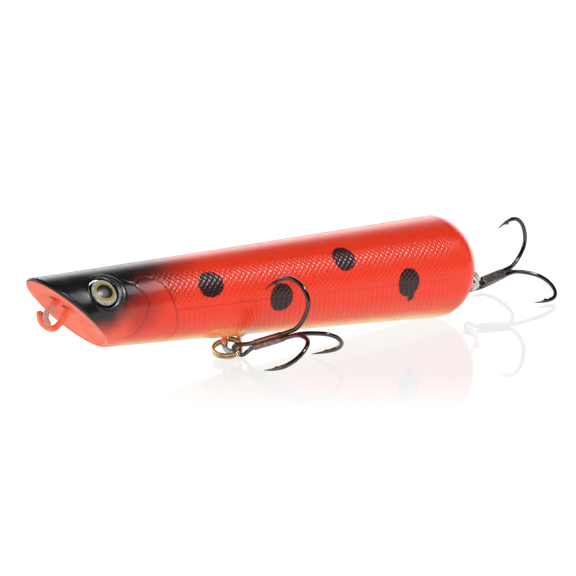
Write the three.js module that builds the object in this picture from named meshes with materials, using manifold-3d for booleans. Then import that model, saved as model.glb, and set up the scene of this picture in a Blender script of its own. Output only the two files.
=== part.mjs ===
// A topwater popper: a hollow two-shell hardbait body with a slanted mouth, three wire eyes,
// two split rings and two treble hooks, lying on its tail and its belly ring as it does on a table.
//
// Part frame: origin at the centre of the line tie's eye, +X towards the tail, +Z up, and -Y on the
// lure's left. Millimetres. Body frame: x runs along the body's own axis from the lip (0) to the
// tail (LENGTH), and the body frame is pitched nose-up by PITCH inside the part frame.

import * as THREE from 'three';
import { mergeVertices } from 'three/addons/utils/BufferGeometryUtils.js';
import Module from 'manifold-3d';

const wasm = await Module();
wasm.setup();

// ---------------------------------------------------------------- driving dimensions

const LENGTH = 110;              // lip to tail
const LIP_RADIUS = 7.1;          // body radius at the lip
const TAPER = 0.0285;            // radius gained per millimetre of length
const SWELL = 0.000036;          // extra gain, per millimetre squared
const CAP_START = 102.6;         // where the rounded tail begins
const MOUTH_ANGLE = degrees(47.6);   // slant of the mouth, from a square-cut end
const MOUTH_CUP = 0.9;           // depth of the cupped mouth
const PITCH = degrees(2.3);      // nose-up attitude on the table
const AXIS_HEIGHT = 12.34;       // height of the axis above the table at half length

const WALL = 1.4;                // shell wall
const FACE_WALL = 2.6;           // wall behind the mouth
const SEAM = 0.3;                // gap between the two shells
const CLEAR = 0.3;               // gap between a seated piece and its seat
const SIDES = 32;                // facets round the body

const WIRE = 0.6;                // radius of the eye wire
const WIRE_SPREAD = 3.6;         // distance between an eye's two legs
const TIE_REACH = 5.2;           // how far the line tie stands out of the mouth
const TIE_OFFSET = 1.7;          // how far above the mouth's centre it sits
const BELLY_REACH = 3.9;         // how far the belly eye stands out
const TAIL_REACH = 4.4;          // how far the tail eye stands out
const TIE_DEPTH = 3.6;           // length of the line tie's legs inside the body
const LEG_DEPTH = 4.6;           // length of a hanger's legs inside the body
const FOOT = 1.6;                // length of each leg's turned-out foot
const BELLY_EYE_X = 49.5;        // belly eye's place along the body
const TAIL_EYE_Z = -0.3;         // tail eye's height from the axis

const EYE_X = 12.1;              // fish eye's place along the body
const EYE_LIFT = degrees(35.5);  // fish eye's angle above the side
const EYE_RADIUS = 2.95;
const EYE_POCKET = 1.7;          // depth of its pocket below the skin
const EYE_STANDS = 0.75;         // how far its dome stands above the skin
const EYE_SIDE = 0.5;            // height of the straight side below the dome
const EYE_BOSS = { wall: 1.4, depth: 3, centre: -1.7 };
const FOIL = 0.4;                // thickness of the printed disc

const RING_OUTER = 6.1;          // split ring's outside diameter
const RING_WIRE = 0.29;          // radius of its wire
const RING_RISE = 0.62;          // rise per turn
const RING_TURNS = 2;
const TAIL_RING_START = degrees(-90);   // the tail ring's ends lie away from the hanger and the treble

const HOOK_WIRE = 0.4;           // radius of the hook wire
const SHANK_OFFSET = 0.62;       // from the treble's axis to each shank
const SHANK_LENGTH = 10.1;       // eye centre to the plane of the three points
const TREBLE_EYE = 1.28;         // radius of the treble's eye, to the wire's centre
const EYE_SET = 0.1;             // how far the eye stands from the treble's axis
const HOOK_SCALE = 0.98;         // size of the bends against the outline below
const TIP_RADIUS = 0.05;         // radius of a hook point's tip
const BARB = { radius: 0.26, length: 1.1, tilt: degrees(152) };

const BALL_RADIUS = 2.4;
const BALL_GAP = { end: 0.1, floor: 0.12 };   // gaps between a ball at rest and its cell
const CELL_RADIUS = 3.1;
const CELL_LENGTH = 10.4;
const CELL_WALL = 1.4;
const TUBE_WALL = 1.1;
const CELL_START = 26;
const CELL_NAMES = ['rattle_ball_front', 'rattle_ball_middle', 'rattle_ball_rear'];

const KEEL_WEIGHT = { x: 73, z: -4.6, radius: 2.6, length: 14 };
const TAIL_WEIGHT = { x: 92, z: -2.6, radius: 3.6, length: 11 };
const CRADLE = 1.5;              // wall and end cheeks round each weight
const PINS = [[21, 4.4], [64.5, 6.2], [84.5, 5.6], [100.5, 5.2]];   // locating pins: x, z
const PIN = { radius: 0.9, length: 3.4, centre: -0.1, socket: 4.4, boss: 1.2 };
const BULKHEAD = 1.4;            // thickness of the walls across the hollow, one at each pin but the last
const BELLY_ANCHOR = { size: [9.5, 5, 8], rise: 4 };
const TAIL_ANCHOR = { size: [9, 5, 9.5], inset: 5.6 };

// ---------------------------------------------------------------- colours

const MATERIALS = {
  shell: new THREE.MeshStandardMaterial({ color: 0xe63a20, roughness: 0.25, metalness: 0 }),
  tie: new THREE.MeshStandardMaterial({ color: 0xff5a3c, roughness: 0.35, metalness: 0.1 }),
  wire: new THREE.MeshStandardMaterial({ color: 0xa8a8a4, roughness: 0.3, metalness: 0.9 }),
  foil: new THREE.MeshStandardMaterial({ color: 0xd9d9c8, roughness: 0.25, metalness: 0.6 }),
  lens: new THREE.MeshStandardMaterial({ color: 0x141414, roughness: 0.05, metalness: 0 }),
  lead: new THREE.MeshStandardMaterial({ color: 0x777a7d, roughness: 0.5, metalness: 0.8 }),
  steel: new THREE.MeshStandardMaterial({ color: 0xc9cbcd, roughness: 0.2, metalness: 1 }),
  gold: new THREE.MeshStandardMaterial({ color: 0xc8a24a, roughness: 0.25, metalness: 1 }),
  nickel: new THREE.MeshStandardMaterial({ color: 0x3a3431, roughness: 0.25, metalness: 1 }),
};

// ---------------------------------------------------------------- small helpers

function degrees(angle) {
  return THREE.MathUtils.degToRad(angle);
}

function vec(x, y, z) {
  return new THREE.Vector3(x, y, z);
}

function toSolid(geometry) {
  const bare = geometry.clone();
  bare.deleteAttribute('normal');
  bare.deleteAttribute('uv');
  const merged = mergeVertices(bare, 1e-4);
  return new wasm.Manifold(new wasm.Mesh({
    numProp: 3,
    vertProperties: new Float32Array(merged.attributes.position.array),
    triVerts: new Uint32Array(merged.index.array),
  }));
}

function toGeometry(solid) {
  const mesh = solid.getMesh();
  const geometry = new THREE.BufferGeometry();
  geometry.setAttribute('position', new THREE.BufferAttribute(mesh.vertProperties, 3));
  geometry.setIndex(new THREE.BufferAttribute(mesh.triVerts, 1));
  geometry.computeVertexNormals();
  return geometry;
}

function box(sizeX, sizeY, sizeZ, centre) {
  return new THREE.BoxGeometry(sizeX, sizeY, sizeZ).translate(...centre);
}

// A cylinder along X, Y or Z.
function rod(axis, radius, length, centre, sides = 20) {
  const geometry = new THREE.CylinderGeometry(radius, radius, length, sides);
  if (axis === 'x') geometry.rotateZ(Math.PI / 2);
  if (axis === 'z') geometry.rotateX(Math.PI / 2);
  return geometry.translate(...centre);
}

// A round wire along a smooth path, as a tube with a few sides.
function wire(points, radius, steps, sides = 8) {
  const corners = [];
  for (let i = 0; i < sides; i++) {
    const angle = i / sides * 2 * Math.PI;
    corners.push(new THREE.Vector2(radius * Math.cos(angle), radius * Math.sin(angle)));
  }
  return new THREE.ExtrudeGeometry(new THREE.Shape(corners), {
    steps,
    bevelEnabled: false,
    extrudePath: new THREE.CatmullRomCurve3(points, false, 'centripetal'),
  });
}

function named(name, geometry, material) {
  const mesh = new THREE.Mesh(geometry, material);
  mesh.name = name;
  return mesh;
}

// ---------------------------------------------------------------- body outline

function bodyRadius(x) {
  return LIP_RADIUS + TAPER * x + SWELL * x * x;
}

// A solid of revolution about the body's axis, inset from the outer skin.
function bodyOfRevolution(inset, sides = SIDES) {
  const stations = [-2, 8, 18, 30, 42, 54, 66, 78, 90];
  const profile = [new THREE.Vector2(0, stations[0])];
  for (const x of stations) profile.push(new THREE.Vector2(bodyRadius(x) - inset, x));
  const capRadius = bodyRadius(CAP_START) - inset;
  const capLength = LENGTH - CAP_START - inset;
  for (let i = 0; i < 6; i++) {
    const angle = i / 6 * Math.PI / 2;
    profile.push(new THREE.Vector2(capRadius * Math.cos(angle), CAP_START + capLength * Math.sin(angle)));
  }
  profile.push(new THREE.Vector2(0, CAP_START + capLength));
  return toSolid(new THREE.LatheGeometry(profile, sides).rotateZ(-Math.PI / 2));
}

// Everything in front of the mouth plane, moved back by depth along the mouth's normal.
function aheadOfMouth(depth) {
  const size = 80;               // more than the body's width and height
  const block = new THREE.BoxGeometry(size, size, size).translate(-size / 2 + depth, 0, 0);
  block.rotateY(-MOUTH_ANGLE);
  return toSolid(block.translate(0, 0, LIP_RADIUS));
}

// Mouth frame: its centre, the direction down the face and the outward normal, in the body's mid-plane.
const mouthDown = vec(Math.sin(MOUTH_ANGLE), 0, -Math.cos(MOUTH_ANGLE));
const mouthOut = vec(-Math.cos(MOUTH_ANGLE), 0, -Math.sin(MOUTH_ANGLE));
const chinX = 2 * LIP_RADIUS * Math.tan(MOUTH_ANGLE) / (1 - TAPER * Math.tan(MOUTH_ANGLE));
const mouthHeight = chinX / Math.sin(MOUTH_ANGLE);
const mouthCentre = vec(0, 0, LIP_RADIUS).addScaledVector(mouthDown, mouthHeight / 2);

// A shallow spherical cup in the mouth.
function mouthCup() {
  const rim = LIP_RADIUS - 0.9;
  const radius = (rim * rim + MOUTH_CUP * MOUTH_CUP) / (2 * MOUTH_CUP);
  const ball = new THREE.SphereGeometry(radius, 36, 24);
  const centre = mouthCentre.clone().addScaledVector(mouthOut, radius - MOUTH_CUP);
  return toSolid(ball.translate(centre.x, centre.y, centre.z));
}

// ---------------------------------------------------------------- wire eyes

// An eye is one wire: a round loop outside and two legs inside that end in turned-out feet.
// base is the middle between the legs on the surface, out the way the loop points, across the leg-to-leg way.
function eyePoints({ base, out, across, reach, depth }) {
  const half = WIRE_SPREAD / 2;
  const at = (along, side) => base.clone().addScaledVector(out, along).addScaledVector(across, side);
  const loopStart = reach - WIRE - half;
  const points = [
    at(-depth, half + FOOT), at(-depth + 0.05, half + 1), at(-depth + 0.35, half + 0.35),
    at(-depth + 1, half + 0.04), at(-depth + 2, half), at(loopStart, half),
  ];
  for (const angle of [30, 60, 90, 120, 150]) {
    const turn = degrees(angle);
    points.push(at(loopStart + half * Math.sin(turn), half * Math.cos(turn)));
  }
  const legs = points.slice(0, 6).map((point) => {
    const side = point.clone().sub(base).dot(across);
    return point.clone().addScaledVector(across, -2 * side);
  });
  return [...points, ...legs.reverse()];
}

const tieBase = mouthCentre.clone().addScaledVector(mouthDown, -TIE_OFFSET);
const tieCentre = tieBase.clone().addScaledVector(mouthOut, TIE_REACH - WIRE - WIRE_SPREAD / 2);
const EYES = {
  line_tie: { base: tieBase, out: mouthOut, across: mouthDown, reach: TIE_REACH, depth: TIE_DEPTH },
  belly_hanger: {
    base: vec(BELLY_EYE_X, 0, -bodyRadius(BELLY_EYE_X)),
    out: vec(0, 0, -1),
    across: vec(1, 0, 0),
    reach: BELLY_REACH,
    depth: LEG_DEPTH,
  },
  tail_hanger: {
    base: vec(LENGTH, 0, TAIL_EYE_Z),
    out: vec(1, 0, 0),
    across: vec(0, 0, 1),
    reach: TAIL_REACH,
    depth: LEG_DEPTH,
  },
};

function wireEye(name) {
  return wire(eyePoints(EYES[name]), WIRE, 30);
}

// A round rod between two points.
function rodBetween(start, end, radius) {
  const direction = end.clone().sub(start);
  const geometry = new THREE.CylinderGeometry(radius, radius, direction.length(), 12);
  geometry.applyQuaternion(new THREE.Quaternion().setFromUnitVectors(vec(0, 1, 0), direction.normalize()));
  const middle = start.clone().add(end).multiplyScalar(0.5);
  return toSolid(geometry.translate(middle.x, middle.y, middle.z));
}

// The seat of an eye's wire in the shells: a hole for each leg and a slot for its foot.
function wireSeat({ base, out, across, depth }) {
  const radius = WIRE + CLEAR;
  const past = 2;                // how far a hole runs on outside the skin
  const corner = radius + 0.5;   // room for the wire's bend
  const at = (along, side) => base.clone().addScaledVector(out, along).addScaledVector(across, side);
  const holes = [];
  for (const side of [-1, 1]) {
    const half = side * WIRE_SPREAD / 2;
    const foot = half + side * (FOOT + CLEAR);
    const bend = at(-depth, half);
    holes.push(rodBetween(at(-depth - radius, half), at(past, half), radius));
    holes.push(rodBetween(at(-depth, half - side * radius), at(-depth, foot), radius));
    holes.push(toSolid(new THREE.SphereGeometry(corner, 10, 8).translate(bend.x, bend.y, bend.z)));
  }
  return holes.reduce((sum, hole) => sum.add(hole));
}

// ---------------------------------------------------------------- fish eyes

// Carries a piece made along +Z (outwards) to the eye socket on one side of the head.
function atEye(object, side) {
  object.rotateX(side * (Math.PI / 2 - EYE_LIFT));
  const reach = bodyRadius(EYE_X);
  return object.translate(EYE_X, -side * reach * Math.cos(EYE_LIFT), reach * Math.sin(EYE_LIFT));
}

function eyeFoil(side) {
  const profile = [[0, 0], [EYE_RADIUS, 0], [EYE_RADIUS, FOIL], [0, FOIL]];
  const geometry = new THREE.LatheGeometry(profile.map(([r, h]) => new THREE.Vector2(r, h)), 24);
  return atEye(geometry.rotateX(Math.PI / 2).translate(0, 0, -EYE_POCKET + CLEAR), side);
}

function eyeLens(side) {
  const base = -EYE_POCKET + CLEAR + FOIL + CLEAR;
  const domeHeight = EYE_STANDS - base;
  const profile = [new THREE.Vector2(0, 0), new THREE.Vector2(EYE_RADIUS, 0)];
  for (let i = 0; i < 5; i++) {
    const angle = i / 5 * Math.PI / 2;
    const height = EYE_SIDE + (domeHeight - EYE_SIDE) * Math.sin(angle);
    profile.push(new THREE.Vector2(EYE_RADIUS * Math.cos(angle), height));
  }
  profile.push(new THREE.Vector2(0, domeHeight));
  const geometry = new THREE.LatheGeometry(profile, 24);
  return atEye(geometry.rotateX(Math.PI / 2).translate(0, 0, base), side);
}

function eyePocket(side) {
  const depth = EYE_POCKET + 2;  // it runs on outside the skin
  const geometry = rod('z', EYE_RADIUS + CLEAR, depth, [0, 0, depth / 2 - EYE_POCKET]);
  return toSolid(atEye(geometry, side));
}

function eyeBoss(side) {
  const geometry = rod('z', EYE_RADIUS + EYE_BOSS.wall, EYE_BOSS.depth, [0, 0, EYE_BOSS.centre], 16);
  return toSolid(atEye(geometry, side));
}

// ---------------------------------------------------------------- shells

const cellStart = (i) => CELL_START + i * (CELL_LENGTH + CELL_WALL);
const cellsEnd = cellStart(CELL_NAMES.length);

// The mouldings inside: bulkheads, rattle tube, wire anchors, weight cradles and pin bosses.
function innerMouldings() {
  const tubeLength = cellsEnd - CELL_START + CELL_WALL;
  const tubeCentre = CELL_START - CELL_WALL + tubeLength / 2;
  const span = 40;               // more than the hollow's width
  const pieces = [
    toSolid(rod('x', CELL_RADIUS + TUBE_WALL, tubeLength, [tubeCentre, 0, 0], 16)),
    toSolid(box(...BELLY_ANCHOR.size, [BELLY_EYE_X, 0, BELLY_ANCHOR.rise - bodyRadius(BELLY_EYE_X)])),
    toSolid(box(...TAIL_ANCHOR.size, [LENGTH - TAIL_ANCHOR.inset, 0, TAIL_EYE_Z])),
    eyeBoss(1),
    eyeBoss(-1),
  ];
  for (const { x, z, radius, length } of [KEEL_WEIGHT, TAIL_WEIGHT]) {
    pieces.push(toSolid(rod('x', radius + CRADLE, length + 2 * CRADLE, [x, 0, z])));
  }
  for (const [x, z] of PINS) pieces.push(toSolid(rod('y', PIN.radius + PIN.boss, span, [x, 0, z], 12)));
  for (const [x] of PINS.slice(0, -1)) pieces.push(toSolid(box(BULKHEAD, span, span, [x, 0, 0])));
  return pieces.reduce((sum, piece) => sum.add(piece));
}

// Round holes for the balls and the weights.
function innerBores() {
  const bores = [KEEL_WEIGHT, TAIL_WEIGHT].map((weight) => toSolid(
    rod('x', weight.radius + CLEAR, weight.length + 2 * CLEAR, [weight.x, 0, weight.z]),
  ));
  for (let i = 0; i < CELL_NAMES.length; i++) {
    bores.push(toSolid(rod('x', CELL_RADIUS, CELL_LENGTH, [cellStart(i) + CELL_LENGTH / 2, 0, 0], 16)));
  }
  return bores.reduce((sum, bore) => sum.add(bore));
}

// The whole body as one hollow moulding, before it is split into two shells.
function wholeBody() {
  const outer = bodyOfRevolution(0).subtract(aheadOfMouth(0)).subtract(mouthCup());
  const cavity = bodyOfRevolution(WALL, 20).subtract(aheadOfMouth(FACE_WALL));
  const core = bodyOfRevolution(WALL / 2, 20).subtract(aheadOfMouth(FACE_WALL / 2));
  let body = outer.subtract(cavity).add(innerMouldings().intersect(core)).subtract(innerBores());
  for (const eye of Object.values(EYES)) body = body.subtract(wireSeat(eye));
  return body.subtract(eyePocket(1)).subtract(eyePocket(-1));
}

// side is -1 for the left shell (-Y) and 1 for the right one.
function shell(body, side) {
  const big = 200;               // more than the whole body
  const keep = toSolid(box(big, big, big, [LENGTH / 2, side * (big + SEAM) / 2, 0]));
  let half = body.intersect(keep);
  for (const [x, z] of PINS) {
    if (side > 0) {
      half = half.add(toSolid(rod('y', PIN.radius, PIN.length, [x, PIN.centre, z], 12)));
    } else {
      half = half.subtract(toSolid(rod('y', PIN.radius + CLEAR, PIN.socket, [x, PIN.centre, z], 12)));
    }
  }
  return toGeometry(half);
}

// ---------------------------------------------------------------- split rings

// A ring of two turns round +Z, centred on the origin. Its two ends are at the start angle.
function splitRing(start) {
  const radius = RING_OUTER / 2 - RING_WIRE;
  const perTurn = 20;
  const points = [];
  for (let i = 0; i <= perTurn * RING_TURNS; i++) {
    const angle = start + i / perTurn * 2 * Math.PI;
    const rise = RING_RISE * (i / perTurn - RING_TURNS / 2);
    points.push(vec(radius * Math.cos(angle), radius * Math.sin(angle), rise));
  }
  return wire(points, RING_WIRE, perTurn * RING_TURNS);
}

// ---------------------------------------------------------------- treble hooks

// Treble frame: origin at the eye's centre, +X along the shank to the bends, hooks set round +X.
// A hook's own outline: distance along the shank from the plane of the points, and from the axis.
const BEND = [
  [2.6, SHANK_OFFSET], [4.4, 0.85], [6.6, 2.1], [8.6, 4.2], [9.1, 6.4], [8.3, 9], [6.3, 10.6], [3.4, 10.8],
];
const POINT_TIP = [0, 10];

function hookDirection(angle) {
  return vec(0, Math.cos(angle), Math.sin(angle));
}

function onHook(angle, along, offset) {
  return vec((along + SHANK_LENGTH) * HOOK_SCALE, 0, 0)
    .addScaledVector(hookDirection(angle), offset * (offset > 1 ? HOOK_SCALE : 1));
}

// The ground point with its barb on the inside, from the end of the bend to the tip.
function hookPoint(angle) {
  const start = onHook(angle, ...BEND.at(-1));
  const tip = onHook(angle, ...POINT_TIP);
  const length = start.distanceTo(tip);
  const cone = new THREE.CylinderGeometry(TIP_RADIUS, HOOK_WIRE, length, 8);
  const barb = new THREE.CylinderGeometry(TIP_RADIUS, BARB.radius, BARB.length, 6).rotateZ(BARB.tilt);
  barb.translate(-HOOK_WIRE, BARB.length - length / 2, 0);
  const direction = tip.clone().sub(start).normalize();
  const sideways = hookDirection(angle).cross(direction).normalize();
  const outward = direction.clone().cross(sideways);
  const place = new THREE.Matrix4().makeBasis(outward, direction, sideways);
  place.setPosition(start.clone().add(tip).multiplyScalar(0.5));
  return toSolid(cone.applyMatrix4(place)).add(toSolid(barb.applyMatrix4(place)));
}

function hookBend(angle) {
  return BEND.map(([along, offset]) => onHook(angle, along, offset));
}

// The lone hook: a straight shank, a bend and a point.
function singleHook() {
  const angle = Math.PI;
  const shank = [-7.2, -3.5, 0].map((along) => onHook(angle, along, SHANK_OFFSET));
  return toGeometry(toSolid(wire([...shank, ...hookBend(angle)], HOOK_WIRE, 26)).add(hookPoint(angle)));
}

// The pair: one wire that makes two hooks and the eye between them. The eye's plane is the XZ plane.
function hookPair() {
  const angle = Math.PI / 3;
  const side = hookBend(angle).reverse();
  for (const along of [0, -4, -7.2]) side.push(onHook(angle, along, SHANK_OFFSET));
  const eye = [];
  for (const turn of [60, 90, 120, 150]) {
    const around = degrees(turn);
    eye.push(vec(TREBLE_EYE * Math.cos(around), EYE_SET, TREBLE_EYE * Math.sin(around)));
  }
  const mirrored = [...side, ...eye].map((point) => vec(point.x, point.y, -point.z)).reverse();
  const loop = [...side, ...eye, vec(-TREBLE_EYE, EYE_SET, 0), ...mirrored];
  const bent = toSolid(wire(loop, HOOK_WIRE, 70));
  return toGeometry(bent.add(hookPoint(angle)).add(hookPoint(-angle)));
}

// ---------------------------------------------------------------- assembly

const lure = new THREE.Group();

// The body and everything fixed inside it.
const body = new THREE.Group();
body.rotation.y = PITCH;
body.position.copy(tieCentre.clone().applyAxisAngle(vec(0, 1, 0), PITCH).multiplyScalar(-1));
lure.add(body);

const moulding = wholeBody();
body.add(named('left_shell', shell(moulding, -1), MATERIALS.shell));
body.add(named('right_shell', shell(moulding, 1), MATERIALS.shell));
body.add(named('line_tie', wireEye('line_tie'), MATERIALS.tie));
body.add(named('belly_hanger', wireEye('belly_hanger'), MATERIALS.wire));
body.add(named('tail_hanger', wireEye('tail_hanger'), MATERIALS.wire));
body.add(named('left_eye_foil', eyeFoil(1), MATERIALS.foil));
body.add(named('left_eye_lens', eyeLens(1), MATERIALS.lens));
body.add(named('right_eye_foil', eyeFoil(-1), MATERIALS.foil));
body.add(named('right_eye_lens', eyeLens(-1), MATERIALS.lens));

for (const [name, weight] of [['keel_weight', KEEL_WEIGHT], ['tail_weight', TAIL_WEIGHT]]) {
  const slug = rod('x', weight.radius, weight.length, [weight.x, 0, weight.z]);
  body.add(named(name, slug, MATERIALS.lead));
}

// Each rattle ball rests on the bottom of its cell, against the cell's tail end.
CELL_NAMES.forEach((name, i) => {
  const ball = named(name, new THREE.SphereGeometry(BALL_RADIUS, 12, 8), MATERIALS.steel);
  const place = cellStart(i) + CELL_LENGTH - BALL_RADIUS - BALL_GAP.end;
  ball.position.set(place, 0, BALL_RADIUS - CELL_RADIUS + BALL_GAP.floor);
  body.add(ball);
});

// A point given by its distance behind mid-body, its side and its height above the table.
function onTable(x, y, height) {
  const middle = vec(LENGTH / 2, 0, 0).applyAxisAngle(vec(0, 1, 0), PITCH).add(body.position);
  return vec(middle.x + x, y, middle.z - AXIS_HEIGHT + height);
}

// Turns an object so that its +X runs along one direction and its +Y as near as can be to another.
function aim(object, alongX, nearY) {
  const x = alongX.clone().normalize();
  const z = x.clone().cross(nearY).normalize();
  const y = z.clone().cross(x);
  object.quaternion.setFromRotationMatrix(new THREE.Matrix4().makeBasis(x, y, z));
  return object;
}

// Belly: the ring leans on the belly eye and the treble lies beside the lure on two points.
const bellyEye = onTable(-6.5, -3.1, 1.5);
const bellyRing = named('belly_split_ring', splitRing(0), MATERIALS.gold);
bellyRing.position.copy(onTable(-7.8, -0.85, 1.7));
aim(bellyRing, vec(0.667, 0.641, 0.379), vec(-0.7, 0.716, 0.016));
lure.add(bellyRing);

const bellyTreble = new THREE.Group();
bellyTreble.position.copy(bellyEye);
aim(bellyTreble, vec(0.246, -0.903, 0.352), vec(0.79, 0.4, 0.47));
bellyTreble.add(named('belly_treble_pair', hookPair(), MATERIALS.nickel));
bellyTreble.add(named('belly_treble_single', singleHook(), MATERIALS.nickel));
lure.add(bellyTreble);

// Tail: the ring hangs from the tail eye and the treble lies behind it on two points.
const tailEye = onTable(59.9, 0.9, 4.4);
const tailRing = named('tail_split_ring', splitRing(TAIL_RING_START), MATERIALS.steel);
tailRing.position.copy(onTable(58.53, 0.23, 6.85));
aim(tailRing, vec(0.527, 0.222, -0.820), vec(0.022, 0.961, 0.275));
lure.add(tailRing);

const tailTreble = new THREE.Group();
tailTreble.position.copy(tailEye);
aim(tailTreble, vec(0.988, 0.123, 0.11), vec(-0.15, 0.85, 0.5));
tailTreble.add(named('tail_treble_pair', hookPair(), MATERIALS.nickel));
tailTreble.add(named('tail_treble_single', singleHook(), MATERIALS.nickel));
lure.add(tailTreble);

export default lure;
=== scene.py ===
"""The looks of a topwater popper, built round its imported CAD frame.

The lure's own shape is worked out in millimetres in the body frame: x from the lip to the tail along the
body's axis, z up, and -y on the lure's left. A place on the skin is given by its distance from the lip and
by its angle in degrees, 0 on the side, 90 on the back and -90 on the belly.
"""

import math

import bmesh
import bpy
import numpy as np
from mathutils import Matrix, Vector


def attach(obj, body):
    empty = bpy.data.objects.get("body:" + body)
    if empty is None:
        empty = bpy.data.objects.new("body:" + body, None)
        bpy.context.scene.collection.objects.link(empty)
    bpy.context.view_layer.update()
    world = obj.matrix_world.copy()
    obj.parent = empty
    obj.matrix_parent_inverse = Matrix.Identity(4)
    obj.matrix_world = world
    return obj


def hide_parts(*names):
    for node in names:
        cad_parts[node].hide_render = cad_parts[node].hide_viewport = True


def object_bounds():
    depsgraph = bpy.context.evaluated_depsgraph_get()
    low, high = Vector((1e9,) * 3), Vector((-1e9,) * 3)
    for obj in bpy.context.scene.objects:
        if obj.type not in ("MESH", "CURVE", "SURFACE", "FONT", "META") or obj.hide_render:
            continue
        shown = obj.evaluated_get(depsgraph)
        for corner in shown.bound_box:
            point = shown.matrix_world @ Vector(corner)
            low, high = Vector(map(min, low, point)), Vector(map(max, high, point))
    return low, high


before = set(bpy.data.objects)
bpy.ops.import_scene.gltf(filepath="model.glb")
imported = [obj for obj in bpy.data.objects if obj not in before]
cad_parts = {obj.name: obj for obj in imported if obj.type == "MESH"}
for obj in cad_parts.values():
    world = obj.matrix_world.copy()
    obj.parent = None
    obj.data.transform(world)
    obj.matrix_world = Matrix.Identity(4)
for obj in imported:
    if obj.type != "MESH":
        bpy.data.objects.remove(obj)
cad_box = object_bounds()

# ---------------------------------------------------------------- the lure's dimensions, in millimetres

MM = 0.001
LENGTH = 110
LIP_RADIUS = 7.1
TAPER = 0.0285         # how the body's radius grows towards the tail: straight, and with the square
SWELL = 0.000036
CAP_START = 102.6      # where the rounded tail begins
MOUTH_ANGLE = math.radians(47.6)
MOUTH_CUP = 0.9        # how deep the mouth is hollowed, and how wide a rim stays flat
CUP_RIM = 0.9
PITCH = math.radians(2.3)
AXIS_HEIGHT = 12.34    # of the body's axis over the table, at mid-body
WALL = 1.4
FACE_WALL = 2.6
EYE_X = 12.1
EYE_LIFT = 35.5        # degrees round the body
EYE_FLOOR = 1.6
POCKET_RADIUS = 3.1
DOME_RADIUS = 2.74
DOME_FLAT = 0.94       # the dome's height round the body against its length
DOME_DROP = 0.15
DOME_HEIGHT = 0.5

WIRE = 0.6             # radius of the line tie's and the hangers' wire
WIRE_STEP = 0.16
WIRE_SIDES = 20
TIE_STEP = 0.12
PAINT_COAT = 0.03      # on the line tie's wire
WIRE_SPREAD = 3.6      # between the centres of a wire eye's legs
TIE_REACH = 5.2
TIE_OFFSET = 1.7
BELLY_EYE_X = 49.5
BELLY_REACH = 3.9
TAIL_REACH = 4.4
TAIL_EYE_Z = -0.3
LEG_DEPTH = 4.6
FOOT = 1.6

RING_OUTER = 6.1
RING_WIRE = 0.29       # half the wire's width, and half its thickness
RING_HALF_THICKNESS = 0.302
RING_SQUARENESS = 3.2  # 2 would be round wire
RING_RISE = 0.62       # from one turn to the next

HOOK_WIRE = 0.44
HOOK_STEP = 0.14
HOOK_SIDES = 18
HOOK_TIP = 0.03        # the point's radius, and the length of wire that is ground down to it
HOOK_GRIND = 5
SHANK_OFFSET = 0.62
SHANK_LENGTH = 10.1
TREBLE_EYE = 1.28
EYE_SET = 0.1
HOOK_SCALE = 0.98
# One hook from its shank round the bend: how far past the shank's end, and how far out from the middle.
BEND = [
    (2.6, SHANK_OFFSET), (4.4, 0.85), (6.6, 2.1), (8.6, 4.2), (9.1, 6.4), (8.3, 9), (6.3, 10.6), (3.4, 10.8),
]
POINT_TIP = (0, 10)
# The barb, by distance from the point: where it begins, where it is highest and where it ends.
BARB_START = 2.1
BARB_PEAK = 3.5
BARB_END = 3.72
BARB_HEIGHT = 0.5
BRAZE_START = -6.9     # its two ends, by distance past the shank's end
BRAZE_END = 2.4

SCALE_PITCH = 1.33     # one scale to the next along the body
SCALE_ROW = 0.56       # one row of scales to the next round the body
SCALE_BULGE = 0.45     # how far a scale's rim bulges towards the tail
SCALE_RISE = 0.42      # length of a rim's steep side
SCALE_HEIGHT = 0.15
RIB_PITCH = 1.25
RIB_LEAN = 6           # how far a rib would lean towards the tail from the side to the belly
RIB_CREST = 0.75       # where in its pitch a rib is highest
RIB_HEIGHT = 0.1
SWIRL_X = 44.5         # where the ribs swirl, how far they are carried, and over what width
SWIRL_REACH = 3
SWIRL_WIDTH = 3.6
LATERAL_LINE = (-2, 1.3)    # its angle at the front of the scales, and how far it drops to the tail
SCALES_START = 29
SCALES_LENGTH = 72
LATERAL_DEPTH = 0.13
LATERAL_WIDTH = 0.22
PLATE_HEIGHT = 0.16    # the gill plate's step up from the scales, and how far ahead of them it dies away
PLATE_FADE = 2.2
GILL_DEPTH = 0.08
GILL_WIDTH = 0.26
CHEEK_DEPTH = 0.09
CHEEK_WIDTH = 0.2
# Raised rims round the eye: how far tailward of it each is centred, its radius, height and width.
EYE_RIMS = [(0.6, 3.35, 0.13, 0.2), (0.75, 4.0, 0.11, 0.22)]
DIP_AHEAD = 5.2        # a shallow dip between the eye and the lip
DIP_DEPTH = 0.2
DIP_WIDTH = 2.4
BOSS_RIM_HEIGHT = 0.36
BOSS_PAD_HEIGHT = 0.12


def unit(v):
    v = np.asarray(v, float)
    return v / np.linalg.norm(v)


def body_radius(x):
    return LIP_RADIUS + TAPER * x + SWELL * x * x


MOUTH_DOWN = np.array([math.sin(MOUTH_ANGLE), 0, -math.cos(MOUTH_ANGLE)])
MOUTH_OUT = np.array([-math.cos(MOUTH_ANGLE), 0, -math.sin(MOUTH_ANGLE)])
SLANT = math.tan(MOUTH_ANGLE)
CHIN_X = 2 * LIP_RADIUS * SLANT / (1 - TAPER * SLANT)
MOUTH_CENTRE = np.array([0, 0, LIP_RADIUS]) + MOUTH_DOWN * CHIN_X / math.sin(MOUTH_ANGLE) / 2
TIE_BASE = MOUTH_CENTRE - MOUTH_DOWN * TIE_OFFSET
TIE_CENTRE = TIE_BASE + MOUTH_OUT * (TIE_REACH - WIRE - WIRE_SPREAD / 2)


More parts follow.
